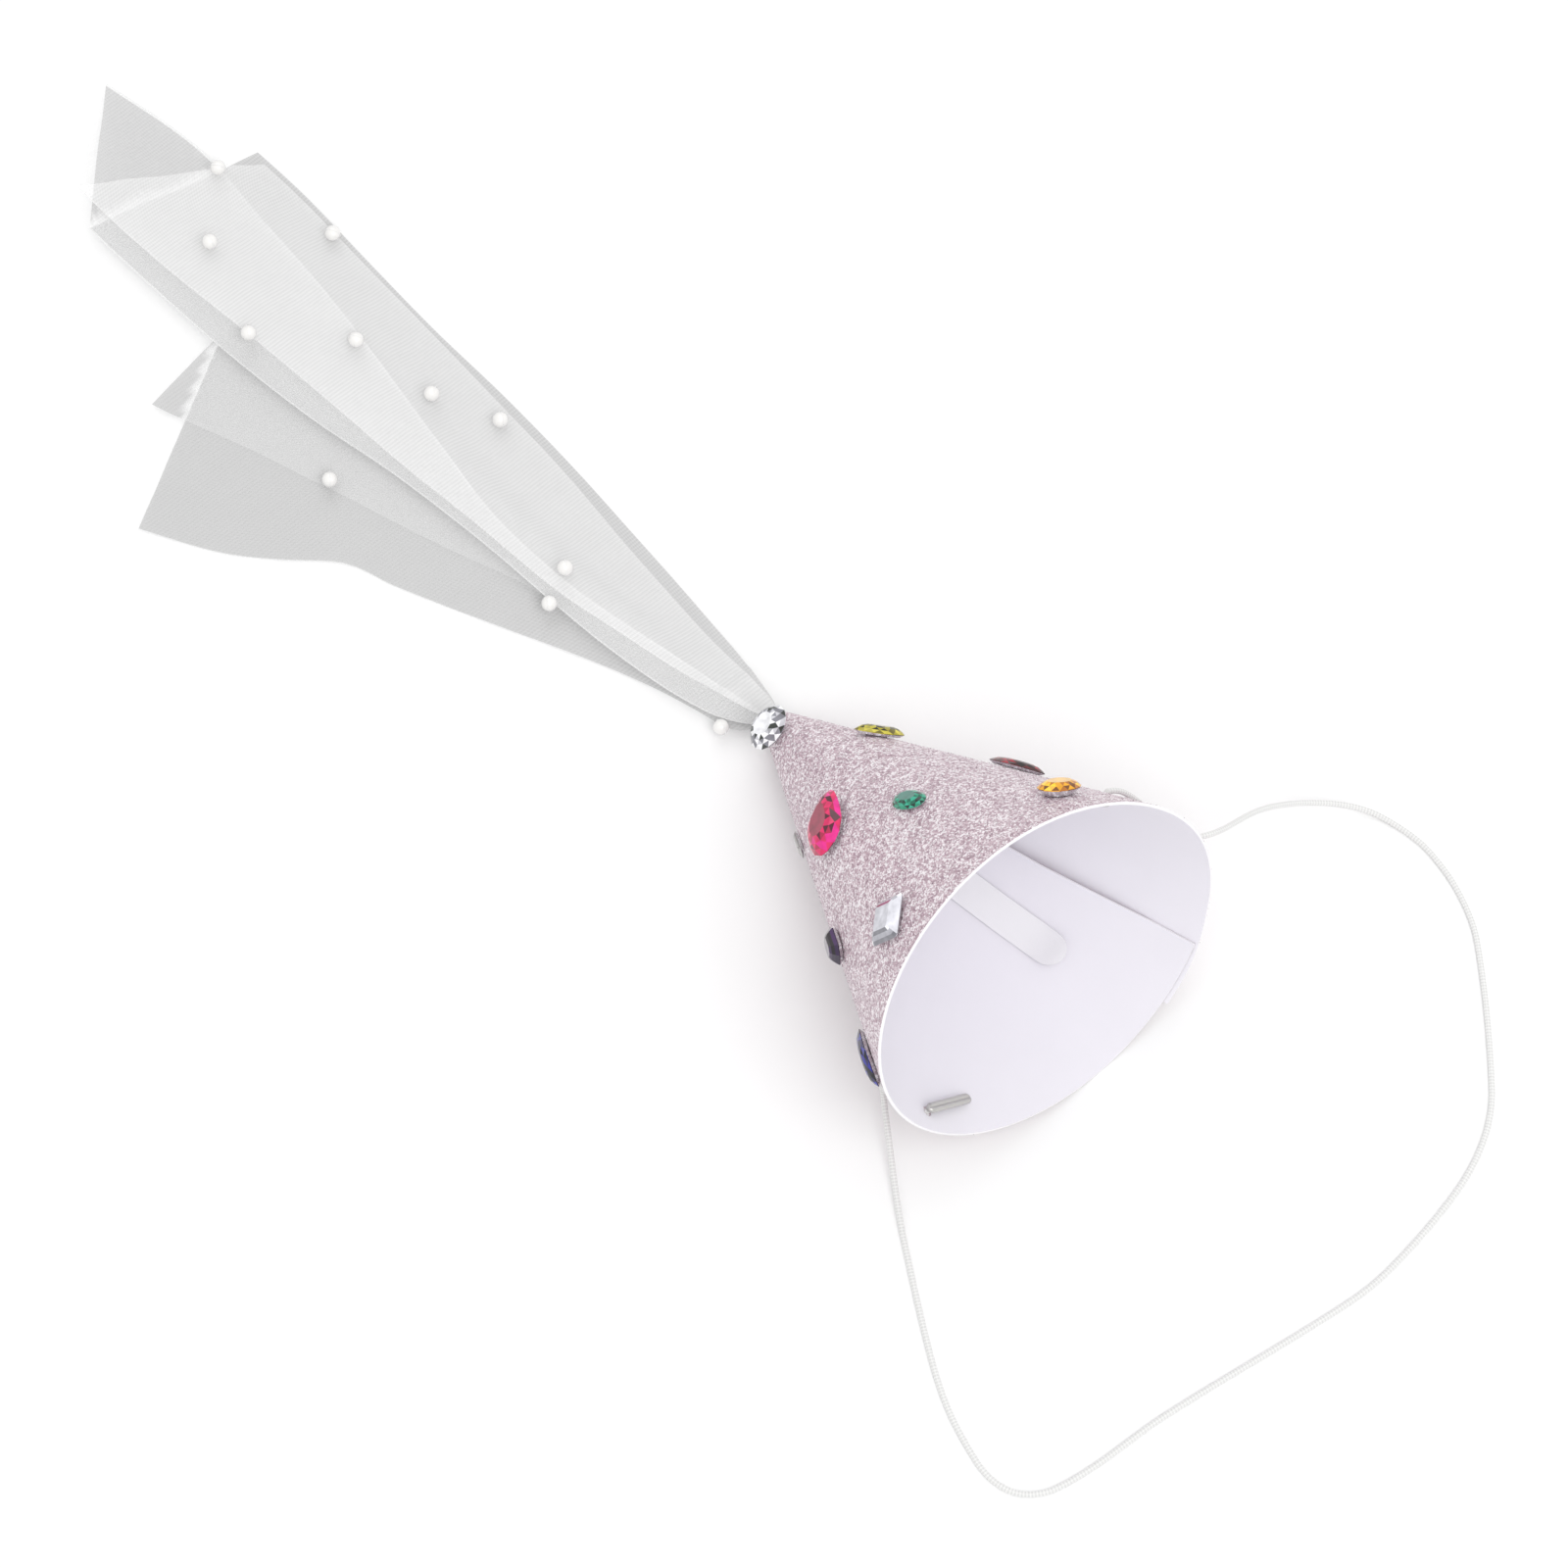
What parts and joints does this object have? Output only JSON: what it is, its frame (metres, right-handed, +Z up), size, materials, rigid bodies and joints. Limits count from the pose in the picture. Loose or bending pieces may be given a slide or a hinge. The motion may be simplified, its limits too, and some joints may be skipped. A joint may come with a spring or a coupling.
{
  "type": "paper party hat",
  "caption": "Cone party hat rolled from glitter card, lying on its side, with glued flat-backed stones, a folded sheer veil with sewn pearls and a thin elastic chin loop.",
  "frame": {"origin": "centre of the footprint of the hat and veil on the surface, the elastic left out", "axes": "+Z up from the surface, +X along the line on which the cone rests, from the veil's end towards the open mouth"},
  "size_m": [0.5113, 0.2194, 0.1022],
  "materials": {
    "glitter_card": "fine silver-pink glitter outside, smooth white inside",
    "white_card": "smooth",
    "white_veil": "sheer, finely ribbed",
    "pearl": "pearl lustre",
    "white_elastic": "knitted cover",
    "steel_tip": "bright, crimped",
    "ruby_stone": "clear moulded facets, silvered back",
    "green_stone": "clear moulded facets, silvered back",
    "olive_stone": "clear moulded facets, silvered back",
    "dark_red_stone": "clear moulded facets, silvered back",
    "amber_stone": "clear moulded facets, silvered back",
    "clear_stone": "clear moulded facets, silvered back",
    "violet_stone": "clear moulded facets, silvered back",
    "navy_stone": "clear moulded facets, silvered back",
    "grey_stone": "clear moulded facets, silvered back"
  },
  "bodies": {
    "root": {"card_cone": "glitter_card", "lock_tongue": "white_card", "veil_upper": "white_veil", "veil_lower": "white_veil", "elastic_cord": "white_elastic", "metal_tip_near": "steel_tip", "metal_tip_far": "steel_tip", "stone_clear_tip": "clear_stone", "stone_ruby_drop": "ruby_stone", "stone_green_oval": "green_stone", "stone_olive_navette": "olive_stone", "stone_dark_red": "dark_red_stone", "stone_amber_oval": "amber_stone", "stone_clear_step": "clear_stone", "stone_violet_octagon": "violet_stone", "stone_navy_navette": "navy_stone", "stone_grey_small": "grey_stone", "pearl_end": "pearl", "pearl_right_far": "pearl", "pearl_bright_far": "pearl", "pearl_fold_far": "pearl", "pearl_bright_mid": "pearl", "pearl_right_mid": "pearl", "pearl_right_near": "pearl", "pearl_lower": "pearl", "pearl_fold_near": "pearl", "pearl_bright_near": "pearl", "pearl_neck": "pearl"}
  },
  "joints": []
}
